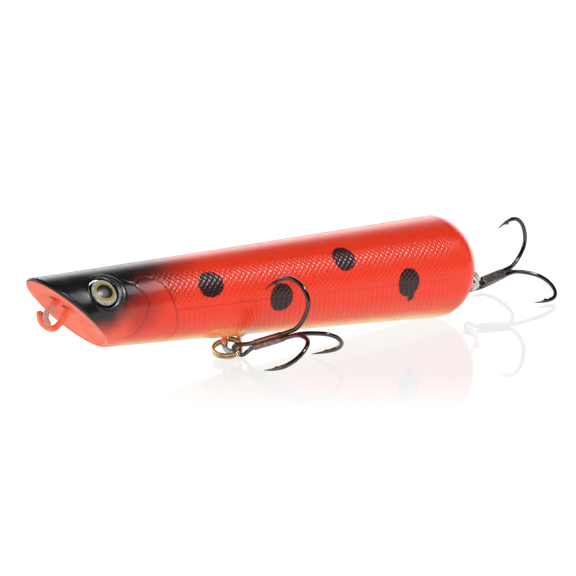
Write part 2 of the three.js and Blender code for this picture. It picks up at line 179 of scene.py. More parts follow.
def pitched(v):
    """Turns directions in the body frame into the row frame."""
    v = np.asarray(v, float)
    c, s = math.cos(PITCH), math.sin(PITCH)
    return np.stack([v[..., 0] * c + v[..., 2] * s, v[..., 1], v[..., 2] * c - v[..., 0] * s], -1)


def from_body(points):
    """Body frame in millimetres to the row frame in metres."""
    return pitched(np.asarray(points, float) - TIE_CENTRE) * MM


def on_table(x, y, height):
    """Row-frame millimetres of a point given from mid-body, from the side and from the table."""
    middle = pitched(np.array([LENGTH / 2, 0, 0]) - TIE_CENTRE)
    return np.array([middle[0] + x, y, middle[2] - AXIS_HEIGHT + height])


class Place:
    """A local frame in millimetres: an origin, +X along one direction and +Y near another."""

    def __init__(self, origin, along_x, near_y):
        x = unit(along_x)
        z = unit(np.cross(x, near_y))
        self.origin = np.asarray(origin, float)
        self.basis = np.stack([x, np.cross(z, x), z])

    def put(self, points):
        return (self.origin + np.asarray(points, float) @ self.basis) * MM


BELLY_RING = Place(on_table(-7.8, -0.85, 1.7), (0.667, 0.641, 0.379), (-0.7, 0.716, 0.016))
BELLY_TREBLE = Place(on_table(-6.5, -3.1, 1.5), (0.246, -0.903, 0.352), (0.79, 0.4, 0.47))
TAIL_RING = Place(on_table(58.53, 0.23, 6.85), (0.527, 0.222, -0.820), (0.022, 0.961, 0.275))
TAIL_TREBLE = Place(on_table(59.9, 0.9, 4.4), (0.988, 0.123, 0.11), (-0.15, 0.85, 0.5))
TAIL_RING_START = -90

# ---------------------------------------------------------------- numbers and noise


def smooth(x):
    """0 below 0, 1 above 1, and a smooth step between."""
    x = np.clip(x, 0, 1)
    return x * x * (3 - 2 * x)


def bump(x, width):
    return np.exp(-(x / width) ** 2)


NOISE_TABLE = np.random.default_rng(11).random((64, 64))


def noise(x, y):
    """Smooth noise between -1 and 1 on a plane, one cell to a unit."""
    column, row = np.floor(x).astype(int), np.floor(y).astype(int)
    u, v = smooth(x - column), smooth(y - row)
    at = lambda i, j: NOISE_TABLE[(column + i) % 64, (row + j) % 64]
    low = at(0, 0) * (1 - u) + at(1, 0) * u
    high = at(0, 1) * (1 - u) + at(1, 1) * u
    return 2 * (low * (1 - v) + high * v) - 1


def segment_distance(x, y, a, b):
    ax, ay, bx, by = *a, *b
    dx, dy = bx - ax, by - ay
    t = np.clip(((x - ax) * dx + (y - ay) * dy) / (dx * dx + dy * dy), 0, 1)
    return np.hypot(x - ax - t * dx, y - ay - t * dy)


def line_distance(x, y, points):
    return np.min([segment_distance(x, y, a, b) for a, b in zip(points, points[1:])], axis=0)


def outline_distance(x, y, points):
    """Distance to a closed outline, negative inside it."""
    closed = list(points) + [points[0]]
    inside = np.zeros(np.shape(x), bool)
    for (ax, ay), (bx, by) in zip(closed, closed[1:]):
        if ay == by:
            continue
        crosses = (ay > y) != (by > y)
        inside ^= crosses & (x < (bx - ax) * (y - ay) / (by - ay) + ax)
    distance = line_distance(x, y, closed)
    return np.where(inside, -distance, distance)


def round_body(points, radius):
    """(distance, angle) pairs to flat millimetres, for a stretch of body of about one radius."""
    return [(x, radius * math.radians(angle)) for x, angle in points]


# ---------------------------------------------------------------- what is moulded and painted on the body

HEAD_R = 7.7           # the body's radius round the head and round the belly hanger
BELLY_R = 8.6

GILL_LINE = round_body([
    (17.5, 50), (18.6, 45), (19.6, 40.8), (20.6, 46), (21.6, 50), (23.3, 48.5), (24.9, 45), (26.3, 35.3),
    (27.3, 16.2), (28.4, -5.8), (29.4, -28), (29.6, -45.8), (29.1, -58),
], HEAD_R)
CHEEK_LINE = round_body([
    (13.2, -32.6), (15.8, -40), (18.3, -39.6), (19.6, -33), (20.3, -23.4), (21.3, -4.7), (21.7, 11.3),
    (20.9, 26.4), (19.6, 41.4),
], HEAD_R)
BLACK_HEAD = round_body([
    (29.5, 140), (28.8, 80), (26.6, 62), (24, 52), (22.4, 45), (21.8, 39), (20.6, 28), (20, 20), (18.4, 12.5),
    (16.6, 2.5), (15.1, -5), (14.2, -14), (13, -18), (11, -18.5), (8, -18), (-6, -18), (-6, 140),
], HEAD_R)
# Each spot: its place, half length, half height and how far it leans up towards the tail.
SPOTS = [
    (37.4, 25.8, 3.1, 2.55, 8),
    (54.4, -2.8, 2.85, 2.8, 0),
    (71.6, 36.3, 2.75, 2.55, 0),
    (87.3, -2.5, 2.75, 2.9, 0),
    (88.4, -20, 0.9, 1.1, 0),        # a drip under the last spot
    (55.3, 84, 0.55, 0.2, 0),        # a speck on the back
    (88.8, -65.3, 0.35, 0.3, 0),     # a speck on the belly
]
BOSS_RIM = round_body([
    (52, -92), (50.5, -76), (48.5, -66.4), (44.5, -51.3), (40.2, -48.5), (39.4, -57.5), (41.5, -76),
    (43.5, -92),
], BELLY_R)
# Where the scales begin at each angle, and the angle of their upper edge at each distance.
SCALES_FROM = (
    [-90, -58, -45.8, -28, -5.8, 16.2, 35.3, 45, 50, 56],
    [27, 29.1, 29.6, 29.4, 28.4, 27.3, 26.3, 24.9, 22.5, 24],
)
SCALES_TOP = ([27, 33, 41, 49, 58, 67, 102], [56, 51, 48, 46, 47, 45, 45])


def scale_height(x, arc):
    """Height, 0 to 1, of the scales. Each rim bulges tailward and is steep on the side facing the nose."""
    across = np.abs((arc / SCALE_ROW) % 2 - 1)
    total = 0
    for shift, off_centre in ((0, across), (SCALE_PITCH / 2, 1 - across)):
        past = (x - shift - SCALE_BULGE * (1 - off_centre ** 2)) % SCALE_PITCH
        share = smooth((0.85 - off_centre) / 0.7)
        total = total + share * smooth(past / SCALE_RISE) * (1 - past / SCALE_PITCH)
    return total


def rib_height(x, angle):
    """Height, 0 to 1, of the ribs under the lateral line, which swirl towards the belly hanger."""
    lean = RIB_LEAN * (1 - np.cos(np.radians(angle)))
    swirl = SWIRL_REACH * smooth((-8 - angle) / 28) * bump(x - SWIRL_X, SWIRL_WIDTH)
    phase = (x - lean - swirl) / RIB_PITCH % 1
    return np.where(phase < RIB_CREST, phase / RIB_CREST, (1 - phase) / (1 - RIB_CREST))


def relief(x, angle):
    """Height of the moulded detail above the plain skin."""
    radius = body_radius(np.minimum(x, CAP_START))
    arc = radius * np.radians(angle)
    head_arc = HEAD_R * np.radians(angle)
    belly_arc = BELLY_R * np.radians(angle)

    lateral_angle, lateral_drop = LATERAL_LINE
    lateral = lateral_angle - (x - SCALES_START) / SCALES_LENGTH * lateral_drop
    start = np.interp(angle, *SCALES_FROM)
    top = np.interp(x, *SCALES_TOP)
    body = smooth((x - start) / 1.2) * smooth((101.5 - x) / 4)
    upper = body * smooth((top - angle) / 9 + 0.5) * smooth((angle - lateral) / 2.5)
    lower = body * smooth((lateral - angle) / 2.5) * smooth((angle + 66) / 26)
    height = SCALE_HEIGHT * upper * (scale_height(x, arc) - 0.4)
    height += RIB_HEIGHT * lower * (rib_height(x, angle) - 0.5)
    height -= LATERAL_DEPTH * body * bump(radius * np.radians(angle - lateral), LATERAL_WIDTH)

    plate = smooth((start - x) / 0.3 + 0.5) * smooth((angle + 75) / 15) * smooth((52 - angle) / 10)
    height += PLATE_HEIGHT * plate * np.exp(-np.maximum(start - x, 0) / PLATE_FADE)
    height -= GILL_DEPTH * bump(line_distance(x, head_arc, GILL_LINE), GILL_WIDTH)
    height -= CHEEK_DEPTH * bump(line_distance(x, head_arc, CHEEK_LINE), CHEEK_WIDTH)

    along_eye, up_eye = x - EYE_X, HEAD_R * np.radians(angle - EYE_LIFT)
    for shift, ring, rise, width in EYE_RIMS:
        height += rise * bump(np.hypot(along_eye - shift, up_eye) - ring, width)
    height -= DIP_DEPTH * bump(np.hypot(along_eye + DIP_AHEAD, up_eye * 0.7), DIP_WIDTH)

    # The boss at the belly hanger: a ragged rim, higher towards the tail, round a lumpy pad.
    ragged = outline_distance(x, belly_arc, BOSS_RIM) + 0.35 * noise(x * 1.1, belly_arc * 1.1)
    rim = BOSS_RIM_HEIGHT * smooth((x - 42) / 5)
    height += rim * bump(ragged, 0.42) * (1 + 0.5 * noise(x * 2.3, belly_arc * 2.3))
    height += BOSS_PAD_HEIGHT * smooth(-ragged / 0.6) * (1 + noise(x * 1.9 + 7, belly_arc * 1.9))
    return height


def spot_distance(x, angle):
    """Distance to the nearest black spot's edge, negative inside it."""
    radius = body_radius(np.minimum(x, CAP_START))
    nearest = []
    for spot_x, spot_angle, length, height, lean in SPOTS:
        c, s = math.cos(math.radians(lean)), math.sin(math.radians(lean))
        along, up = x - spot_x, radius * np.radians(angle - spot_angle)
        reach = np.hypot((along * c + up * s) / length, (up * c - along * s) / height)
        nearest.append((reach - 1) * min(length, height))
    return np.min(nearest, axis=0)


# ---------------------------------------------------------------- making objects


def new_object(name, verts, faces, material, body, replaces=(), fields=None):
    """A smooth piece that rides a body. fields are numbers at its points, which its material reads."""
    mesh = bpy.data.meshes.new(name)
    mesh.from_pydata(np.asarray(verts, float).tolist(), [], [tuple(f) for f in faces])
    for field, values in (fields or {}).items():
        layer = mesh.attributes.new(field, "FLOAT", "POINT")
        layer.data.foreach_set("value", np.asarray(values, np.float32))
    build = bmesh.new()
    build.from_mesh(mesh)
    bmesh.ops.remove_doubles(build, verts=build.verts, dist=1e-8)
    bmesh.ops.recalc_face_normals(build, faces=build.faces)
    build.to_mesh(mesh)
    build.free()
    mesh.polygons.foreach_set("use_smooth", [True] * len(mesh.polygons))
    mesh.materials.append(material)
    obj = bpy.data.objects.new(name, mesh)
    bpy.context.scene.collection.objects.link(obj)
    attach(obj, body)
    if replaces:
        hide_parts(*replaces)


def grid_faces(rows, columns, start=0, wrap=False):
    """Quads over a grid of vertices laid out row by row."""
    index = start + np.arange(rows * columns).reshape(rows, columns)
    if wrap:
        index = np.hstack([index, index[:, :1]])
    quads = np.stack([index[:-1, :-1], index[1:, :-1], index[1:, 1:], index[:-1, 1:]], -1)
    return quads.reshape(-1, 4).tolist()


def catmull_rom(points, spacing):
    """An evenly spaced smooth path through points, with centripetal knots."""
    p = np.asarray(points, float)
    p = np.vstack([2 * p[0] - p[1], p, 2 * p[-1] - p[-2]])
    path = []
    for p0, p1, p2, p3 in zip(p, p[1:], p[2:], p[3:]):
        t1 = np.linalg.norm(p1 - p0) ** 0.5
        t2 = t1 + np.linalg.norm(p2 - p1) ** 0.5
        t3 = t2 + np.linalg.norm(p3 - p2) ** 0.5
        t = np.linspace(t1, t2, 24, endpoint=False)[:, None]
        a1 = (t1 - t) / t1 * p0 + t / t1 * p1
        a2 = (t2 - t) / (t2 - t1) * p1 + (t - t1) / (t2 - t1) * p2
        a3 = (t3 - t) / (t3 - t2) * p2 + (t - t2) / (t3 - t2) * p3
        b1 = (t2 - t) / t2 * a1 + t / t2 * a2
        b2 = (t3 - t) / (t3 - t1) * a2 + (t - t1) / (t3 - t1) * a3
        path.append((t2 - t) / (t2 - t1) * b1 + (t - t1) / (t2 - t1) * b2)
    path = np.vstack(path + [p[-2:-1]])
    length = np.concatenate([[0], np.cumsum(np.linalg.norm(np.diff(path, axis=0), axis=1))])
    even = np.linspace(0, length[-1], max(2, round(length[-1] / spacing)) + 1)
    return np.stack([np.interp(even, length, path[:, k]) for k in range(3)], 1), even


def frames_along(path):
    """Two steady directions across a path at every point of it."""
    tangent = np.gradient(path, axis=0)
    tangent /= np.linalg.norm(tangent, axis=1)[:, None]
    guess = np.eye(3)[np.argmin(np.abs(tangent[0]))]
    side = [unit(np.cross(tangent[0], guess))]
    for t in tangent[1:]:
        side.append(unit(side[-1] - t * np.dot(side[-1], t)))
    side = np.array(side)
    return side, np.cross(tangent, side)


def sweep(path, radii, sides, push=None):
    """Vertices and faces of a closed round rod along a path. push(i, directions) gives extra reach."""
    side, other = frames_along(path)
    angle = np.arange(sides) / sides * 2 * math.pi
    verts = []
    for i, centre in enumerate(path):
        ways = np.outer(np.cos(angle), side[i]) + np.outer(np.sin(angle), other[i])
        reach = np.full(sides, radii[i])
        if push:
            reach = reach + push(i, ways)
        verts.append(centre + ways * reach[:, None])
    verts = np.vstack(verts + [path[:1], path[-1:]])
    faces = grid_faces(len(path), sides, wrap=True)
    last = (len(path) - 1) * sides
    first_cap, last_cap = len(verts) - 2, len(verts) - 1
    for k in range(sides):
        faces.append((first_cap, k, (k + 1) % sides))
        faces.append((last_cap, last + (k + 1) % sides, last + k))
    return verts, faces


# ---------------------------------------------------------------- materials


class Nodes:
    """A material and short ways to add nodes to it."""

    def __init__(self, name):
        self.material = bpy.data.materials.new(name)
        self.material.use_nodes = True
        self.tree = self.material.node_tree
        self.shader = self.tree.nodes["Principled BSDF"]

    def add(self, kind, inputs=None, **settings):
        node = self.tree.nodes.new(kind)
        for key, value in settings.items():
            setattr(node, key, value)
        for key, value in (inputs or {}).items():
            self.plug(value, node.inputs[key])
        return node

    def plug(self, value, socket):
        if isinstance(value, bpy.types.NodeSocket):
            self.tree.links.new(value, socket)
        else:
            socket.default_value = value

    def set(self, **values):
        for key, value in values.items():
            self.plug(value, self.shader.inputs[key.replace("_", " ")])

    def field(self, name):
        return self.add("ShaderNodeAttribute", attribute_name=name).outputs["Fac"]

    def position(self):
        return self.add("ShaderNodeTexCoord").outputs["Object"]

    def noise(self, scale, detail, roughness=0.5):
        inputs = {"Scale": scale, "Detail": detail, "Roughness": roughness, "Vector": self.position()}
        return self.add("ShaderNodeTexNoise", inputs).outputs["Fac"]

    def swing(self, scale, detail, reach):
        """Noise about zero, reach from its lowest to its highest."""
        return self.math("MULTIPLY", self.math("SUBTRACT", self.noise(scale, detail), 0.5), reach)

    def math(self, operation, a, b):
        return self.add("ShaderNodeMath", {0: a, 1: b}, operation=operation).outputs[0]

    def multiply_add(self, value, factor, offset):
        inputs = {0: value, 1: factor, 2: offset}
        return self.add("ShaderNodeMath", inputs, operation="MULTIPLY_ADD").outputs[0]

    def remap(self, value, low, high, to_low=0.0, to_high=1.0, smoothed=True):
        inputs = {"Value": value, "From Min": low, "From Max": high, "To Min": to_low, "To Max": to_high}
        kind = "SMOOTHSTEP" if smoothed else "LINEAR"
        return self.add("ShaderNodeMapRange", inputs, interpolation_type=kind).outputs[0]

    def ramp(self, value, stops):
        node = self.add("ShaderNodeValToRGB", {"Fac": value})
        while len(node.color_ramp.elements) < len(stops):
            node.color_ramp.elements.new(0.5)
        for element, (at, colour) in zip(node.color_ramp.elements, stops):
            element.position = at
            element.color = (*colour, 1)
        return node.outputs["Color"]

    def mix(self, amount, a, b):
        node = self.add("ShaderNodeMix", data_type="RGBA")
        self.plug(amount, node.inputs["Factor"])
        self.plug(a if isinstance(a, bpy.types.NodeSocket) else (*a, 1), node.inputs["A"])
        self.plug(b if isinstance(b, bpy.types.NodeSocket) else (*b, 1), node.inputs["B"])
        return node.outputs["Result"]

    def bumped(self, height, distance, strength):
        inputs = {"Height": height, "Distance": distance, "Strength": strength}
        self.set(Normal=self.add("ShaderNodeBump", inputs).outputs["Normal"])


RED = (0.98, 0.045, 0.012)
WARM_RED = (0.98, 0.09, 0.018)
ORANGE = (1.0, 0.26, 0.05)
CREAM = (1.0, 0.68, 0.26)
BLACK = (0.006, 0.006, 0.007)
# painted shade for the relief's hollows
HOLLOW_SHADE_RED = (0.55, 0.008, 0.004)
# painted shade for the gill and cheek grooves
CREASE_SHADE_RED = (0.16, 0.006, 0.005)
BLOTCH_RED = (0.93, 0.05, 0.012)
# painted shade for the flank near the head
SHOULDER_SHADE_RED = (0.62, 0.03, 0.014)
CHIN_RED = (0.97, 0.1, 0.04)
OVERSPRAY_RED = (0.95, 0.075, 0.012)
# painted shade in the gap beside each leg of the line tie
SLIT_SHADE_RED = (0.12, 0.012, 0.008)


def flank_paint(n):
    """Red with a mottled lower edge, orange and then cream under it, and crinkled orange on the boss."""
    mottle = n.noise(260, 4)
    around = n.math("ADD", n.field("around"), n.multiply_add(mottle, 9.0, -4.5))
    place = lambda angle: (angle + 90) / 180
    base = n.ramp(n.remap(around, -90, 90, smoothed=False), [
        (0, CREAM), (place(-62), CREAM), (place(-52), ORANGE), (place(-43), WARM_RED), (place(-20), RED),
        (1, RED),
    ])
    # painted shade: the paint darker where the relief is low
    base = n.mix(n.remap(n.field("relief"), -0.09, 0.03, 0.22, 0.0), base, HOLLOW_SHADE_RED)
    # painted shade along the gill and cheek grooves
    base = n.mix(n.math("MULTIPLY", n.field("crease_shade"), 0.8), base, CREASE_SHADE_RED)
    base = n.mix(n.remap(n.noise(90, 3), 0.35, 0.75, 0.0, 0.18), base, BLOTCH_RED)
    # painted shade: the flank darker towards the head, fading out by 42 mm
    base = n.mix(n.remap(n.field("along"), 24, 42, 0.3, 0.0), base, SHOULDER_SHADE_RED)
    base = n.mix(n.remap(n.field("along"), 16, 19.5, 0.8, 0.0), base, CHIN_RED)

    ragged = n.math("ADD", n.field("boss"), n.math("MULTIPLY", mottle, 0.8))
    crinkle = n.ramp(n.noise(900, 5, roughness=0.65), [
        (0.3, (0.85, 0.07, 0.01)), (0.42, (1.0, 0.2, 0.02)), (0.55, (1.0, 0.36, 0.04)),
        (0.66, (0.5, 0.1, 0.01)),
    ])
    return n.mix(n.remap(ragged, 0.6, 1.8, 1.0, 0.0), base, crinkle)


def mouth_paint(n):
    """Pinker, flatter paint, with red overspray round the line tie's legs and painted shade of a gap beside
    each.
    """
    paint = n.ramp(n.noise(300, 4), [
        (0.3, (0.97, 0.14, 0.07)), (0.5, (0.98, 0.18, 0.1)), (0.7, (0.98, 0.24, 0.15)),
    ])
    ragged = n.math("ADD", n.field("tie_distance"), n.math("MULTIPLY", n.noise(700, 3), 2.4))
    paint = n.mix(n.remap(ragged, 2.0, 3.3, 1.0, 0.0), paint, OVERSPRAY_RED)
    # painted shade: a dark mark beside each leg, where a gap would be in shade
    return n.mix(n.remap(n.field("slit_shade"), 0.95, 1.15, 0.9, 0.0), paint, SLIT_SHADE_RED)


def body_paint():
    """The flank's and the mouth's paint under a black head and black spots, all under a glossy coat."""
    n = Nodes("body_paint")
    face = n.field("face")
    base = n.mix(face, flank_paint(n), mouth_paint(n))

    speckle, drift = n.swing(6000, 2, 1.4), n.swing(180, 2, 2.0)
    head = n.math("ADD", n.field("head"), n.math("ADD", speckle, drift))
    base = n.mix(n.remap(head, -2.3, 3.1, 1.0, 0.0), base, BLACK)
    spots = n.math("ADD", n.field("spots"), n.swing(900, 4, 0.5))
    base = n.mix(n.remap(spots, -0.12, 0.16, 0.97, 0.0), base, BLACK)

    gloss = n.remap(n.noise(400, 3), 0.3, 0.7, 0.2, 0.26)
    n.set(Base_Color=base, Roughness=n.multiply_add(face, 0.35, gloss), IOR=1.5)
    n.bumped(n.noise(1500, 4), 0.00001, 0.5)
    return n.material


def painted_wire(name, bare_from, bare_to):
    """Orange-red paint on wire, worn to a pinkish grey where the noise is high."""
    n = Nodes(name)
    worn = n.remap(n.noise(900, 5, roughness=0.6), bare_from, bare_to)
    paint = n.ramp(n.noise(350, 3), [
        (0.3, (0.8, 0.07, 0.03)), (0.55, (0.93, 0.16, 0.06)), (0.75, (0.95, 0.3, 0.16)),
    ])
    colour = n.mix(worn, paint, (0.5, 0.3, 0.28))
    n.set(Base_Color=colour, Roughness=n.remap(worn, 0, 1, 0.28, 0.38), IOR=1.5)
    n.bumped(n.noise(1400, 4), 0.00006, 0.6)
    return n.material


def metal(name, light, dark, roughness, grain=1200, scratch=0.00001):
    """A clean metal. A higher grain makes its marks smaller, and scratch is how deep they are in metres."""
    n = Nodes(name)
    tone = n.ramp(n.noise(grain, 4), [(0.3, dark), (0.7, light)])
    n.set(Base_Color=tone, Metallic=1.0)
    n.set(Roughness=n.remap(n.noise(grain * 2.3, 3), 0.3, 0.7, roughness * 0.75, roughness * 1.25))
    n.bumped(n.noise(grain * 3, 3), scratch, 0.5)
    return n.material


def hanger_wire():
    """Bare steel with some of the body's red sprayed on it."""
    n = Nodes("eye_wire")
    tone = n.ramp(n.noise(1200, 4), [(0.3, (0.4, 0.38, 0.37)), (0.7, (0.66, 0.65, 0.63))])
    spray = n.field("sprayed")
    colour = n.mix(spray, tone, (0.92, 0.1, 0.025))
    n.set(Base_Color=colour, Metallic=n.remap(spray, 0, 1, 1.0, 0.0), Roughness=0.25)
    n.bumped(n.noise(2600, 3), 0.00002, 0.5)
    return n.material


def eye_print():
    """A black oval pupil in a thin gold ring on a pearly disc, printed on a glossy dome."""
    n = Nodes("eye_lens")
    pupil = n.remap(n.field("pupil"), 0.97, 1.03, 1.0, 0.0)
    ring = n.remap(n.field("gold"), 0.96, 1.04, 1.0, 0.0)
    pearl = n.ramp(n.noise(1500, 4), [
        (0.3, (0.17, 0.24, 0.23)), (0.5, (0.42, 0.42, 0.34)), (0.7, (0.62, 0.55, 0.4)),
    ])
    gold = n.ramp(n.noise(2200, 3), [(0.3, (0.3, 0.2, 0.04)), (0.7, (0.5, 0.36, 0.1))])
    colour = n.mix(pupil, n.mix(ring, pearl, gold), (0.004, 0.004, 0.005))
    n.set(Base_Color=colour, Roughness=0.24, IOR=1.5)
    return n.material


PAINT = body_paint()
TIE_PAINT = painted_wire("painted_wire", 0.6, 0.72)
TIE_WORN = painted_wire("worn_wire", 0.36, 0.56)
BARE_WIRE = hanger_wire()
GOLD = metal("ring_gold", (0.66, 0.52, 0.27), (0.42, 0.31, 0.13), 0.16)
NICKEL = metal("ring_nickel", (0.9, 0.86, 0.79), (0.75, 0.7, 0.63), 0.3)
BLACK_NICKEL = metal(
    "hook_black_nickel", (0.14, 0.12, 0.115), (0.085, 0.07, 0.07), 0.11, grain=500, scratch=0.000004,
)
BRAZE = metal("braze", (0.33, 0.29, 0.28), (0.15, 0.125, 0.12), 0.34, grain=900, scratch=0.00003)
LENS = eye_print()
FOIL = metal("eye_foil", (0.85, 0.84, 0.76), (0.6, 0.62, 0.6), 0.25)
BALLAST = metal("ballast", (0.5, 0.51, 0.52), (0.32, 0.32, 0.33), 0.45, grain=600)
BALL_STEEL = metal("ball_steel", (0.8, 0.81, 0.82), (0.66, 0.67, 0.68), 0.12)

for node_name, material in (
    ("left_eye_foil", FOIL), ("right_eye_foil", FOIL), ("keel_weight", BALLAST), ("tail_weight", BALLAST),
    ("rattle_ball_front", BALL_STEEL), ("rattle_ball_middle", BALL_STEEL), ("rattle_ball_rear", BALL_STEEL),
):
    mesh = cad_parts[node_name].data
    mesh.materials.clear()
    mesh.materials.append(material)

# ---------------------------------------------------------------- body skins

HEAD_END = 20          # from the mouth to here the skin has HEAD_ROWS rows
HEAD_ROWS = 90
ROW_STEP = 0.14
CAP_ROWS = 30
FACE_ROWS = 44
INNER_ROWS = 8         # on the inside of the head, and again on the inside of the tail
INNER_STEP = 5.0
INNER_COLUMNS = 21
RIM_ROUND = 0.55       # the mouth's rounded rim, and the plain skin behind it
RIM_PLAIN = 0.3
EYE_BULGE = 6.5        # how far round the eye the inside follows its pocket
BLACK_BLUR = 14        # behind this distance the black head's edge is softer and lies further back
# how far the painted shade beside each leg of the line tie lies off the leg
SLIT_SHADE_SHIFT = np.array([0, 0.3, 0]) - MOUTH_DOWN * 0.4
# Stored on the inside: distances so great that neither the black nor the boss's paint shows there.
INSIDE = {"head": 20.0, "spots": 20.0, "boss": 20.0}


def skin_angles():
    """Angles of the skin's columns, close together where the scales are."""
    return np.concatenate([
        np.linspace(-90, -3, 32)[:-1],
        np.linspace(-3, 62, 85)[:-1],
        np.linspace(62, 90, 11),
    ])


def mouth_edge(angle):
    """Where the plain skin meets the mouth plane."""
    x = np.full(np.shape(angle), 5.0)
    for _ in range(40):
        x = (LIP_RADIUS - body_radius(x) * np.sin(np.radians(angle))) * SLANT
    return x


def outer_grid(angles, head_rows, step, cap_rows):
    """Distances, radii and profile normals on a grid of rows by angles."""
    edge = mouth_edge(angles)
    k = np.linspace(0, 1, head_rows, endpoint=False)[:, None]
    head = edge + (HEAD_END - edge) * k
    main = np.arange(HEAD_END, CAP_START, step)[:, None] + 0 * angles
    x = np.vstack([head, main])
    radius = body_radius(x)
    slope = TAPER + 2 * SWELL * x
    turn = np.linspace(0, math.pi / 2, cap_rows)[:, None] + 0 * angles
    cap_radius, cap_length = body_radius(CAP_START), LENGTH - CAP_START
    x = np.vstack([x, CAP_START + cap_length * np.sin(turn)])
    radius = np.vstack([radius, cap_radius * np.cos(turn)])
    cap_slope = -cap_radius / cap_length * np.tan(np.minimum(turn, 1.5))
    slope = np.vstack([slope, cap_slope])
    lean = np.sqrt(1 + slope * slope)
    return x, radius, -slope / lean, 1 / lean


def skin_points(x, radius, angles, side):
    a = np.radians(angles)
    return np.stack([x, side * radius * np.cos(a), radius * np.sin(a)], -1)


def eye_direction(side):
    lift = math.radians(EYE_LIFT)
    return np.array([0, side * math.cos(lift), math.sin(lift)])


def eye_origin(side):
    return np.array([EYE_X, 0, 0]) + body_radius(EYE_X) * eye_direction(side)


def sink_pocket(points, side):
    """Presses the round eye pocket into the skin."""
    way = eye_direction(side)
    offset = points - eye_origin(side)
    height = offset @ way
    away = np.linalg.norm(offset - height[..., None] * way, axis=-1)
    inside = smooth((POCKET_RADIUS - away) / 0.16) * (height > -4)
    return points - (inside * (height + EYE_FLOOR))[..., None] * way


def zip_loops(outer, inner, outer_index, inner_index):
    """Triangles between two open rows of points that run the same way."""
    lengths = []
    for points in (outer, inner):
        run = np.concatenate([[0], np.cumsum(np.linalg.norm(np.diff(points, axis=0), axis=1))])
        lengths.append(run / run[-1])
    faces, i, j = [], 0, 0
    while i < len(outer) - 1 or j < len(inner) - 1:
        if j == len(inner) - 1 or (i < len(outer) - 1 and lengths[0][i + 1] <= lengths[1][j + 1]):
            faces.append((outer_index[i], outer_index[i + 1], inner_index[j]))
            i += 1
        else:
            faces.append((outer_index[i], inner_index[j + 1], inner_index[j]))
            j += 1
    return faces


def keep_to_side(points, side):
    """Moves points that have strayed over the seam back onto it."""
    points[..., 1] = side * np.maximum(side * points[..., 1], 0.0)
    return points


def outer_skin(angles, side):
    """Distances, relief heights and points of the outer skin, row by row from the mouth to the tail."""
    x, radius, normal_x, normal_r = outer_grid(angles, HEAD_ROWS, ROW_STEP, CAP_ROWS)
    from_edge = x - mouth_edge(angles)
    height = relief(x, np.broadcast_to(angles, x.shape)) * smooth(from_edge - RIM_PLAIN)
    fillet = RIM_ROUND * (1 - np.sqrt(1 - (1 - np.minimum(from_edge / RIM_ROUND, 1)) ** 2))
    out = height - fillet
    points = skin_points(x + normal_x * out, radius + normal_r * out, angles, side)
    return x, height, keep_to_side(sink_pocket(points, side), side)


def mouth_face(rim):
    """Points of the hollowed mouth face, row by row from its centre to the skin's first row."""
    outward = np.linspace(1, 0, FACE_ROWS + 1)[:0:-1, None, None]
    face = MOUTH_CENTRE + (rim - MOUTH_CENTRE) * outward
    away = np.linalg.norm(face - MOUTH_CENTRE, axis=-1)
    cup = MOUTH_CUP * np.clip(1 - (away / (LIP_RADIUS - CUP_RIM)) ** 2, 0, 1)
    return face - MOUTH_OUT * cup[..., None]


def inner_skin(side):
    """Points of the inside: it bulges in behind the eye pocket and ends in a flat cover behind the mouth."""
    angles = np.linspace(-90, 90, INNER_COLUMNS)
    x, radius, normal_x, normal_r = outer_grid(angles, INNER_ROWS, INNER_STEP, INNER_ROWS)
    points = skin_points(x - normal_x * WALL, radius - normal_r * WALL, angles, side)
    near_eye = np.linalg.norm(points - eye_origin(side), axis=-1)
    bulge = EYE_FLOOR * smooth((EYE_BULGE - near_eye) / 3)
    points = points - bulge[..., None] * eye_direction(side)
    too_near = (points - MOUTH_CENTRE) @ MOUTH_OUT + FACE_WALL
    back = np.maximum(too_near, 0) / math.cos(MOUTH_ANGLE)
    points = keep_to_side(points + np.array([1, 0, 0]) * back[..., None], side)
    middle = points[0].mean(axis=0) * np.array([1, 0, 1])
    cover = middle + (points[0] - middle) * np.array([0.0, 0.5])[:, None, None]
    return np.concatenate([cover, points])


def leg_distance(points, shift=0.0):
    """Distance in the plane of the mouth to the nearer leg of the line tie, or to a spot beside it."""
    in_plane = points - (points @ MOUTH_OUT - TIE_BASE @ MOUTH_OUT)[..., None] * MOUTH_OUT
    legs = [TIE_BASE + MOUTH_DOWN * down + shift for down in (-WIRE_SPREAD / 2, WIRE_SPREAD / 2)]
    return np.min([np.linalg.norm(in_plane - leg, axis=-1) for leg in legs], axis=0)


def skin_fields(x, height, angles, points):
    """What the paint reads at every point of the mouth face and the outer skin."""
    face_shape = (FACE_ROWS, len(angles))
    along = np.concatenate([np.broadcast_to(x[0], face_shape), x])
    around = np.broadcast_to(angles, along.shape)
    on_face = np.concatenate([np.ones(face_shape), np.zeros(x.shape)])
    arc = HEAD_R * np.radians(around)
    soften = smooth((along - BLACK_BLUR) / 6)
    head = outline_distance(along, arc, BLACK_HEAD) * (1 - 0.6 * soften) - 0.6 * soften
    # where painted shade darkens the gill and cheek grooves
    crease_shade = bump(line_distance(along, arc, GILL_LINE), 0.22)
    crease_shade = crease_shade + 0.5 * bump(line_distance(along, arc, CHEEK_LINE), 0.22)
    return {
        "along": along,
        "around": around,
        "face": on_face,
        "relief": np.concatenate([np.zeros(face_shape), height]),
        "crease_shade": np.where(on_face > 0, 0, crease_shade),
        "head": np.where(on_face > 0, 9.0, head),
        "spots": spot_distance(along, around),
        "tie_distance": leg_distance(points),
        "slit_shade": leg_distance(points, SLIT_SHADE_SHIFT),
        "boss": outline_distance(along, BELLY_R * np.radians(around), BOSS_RIM),
    }


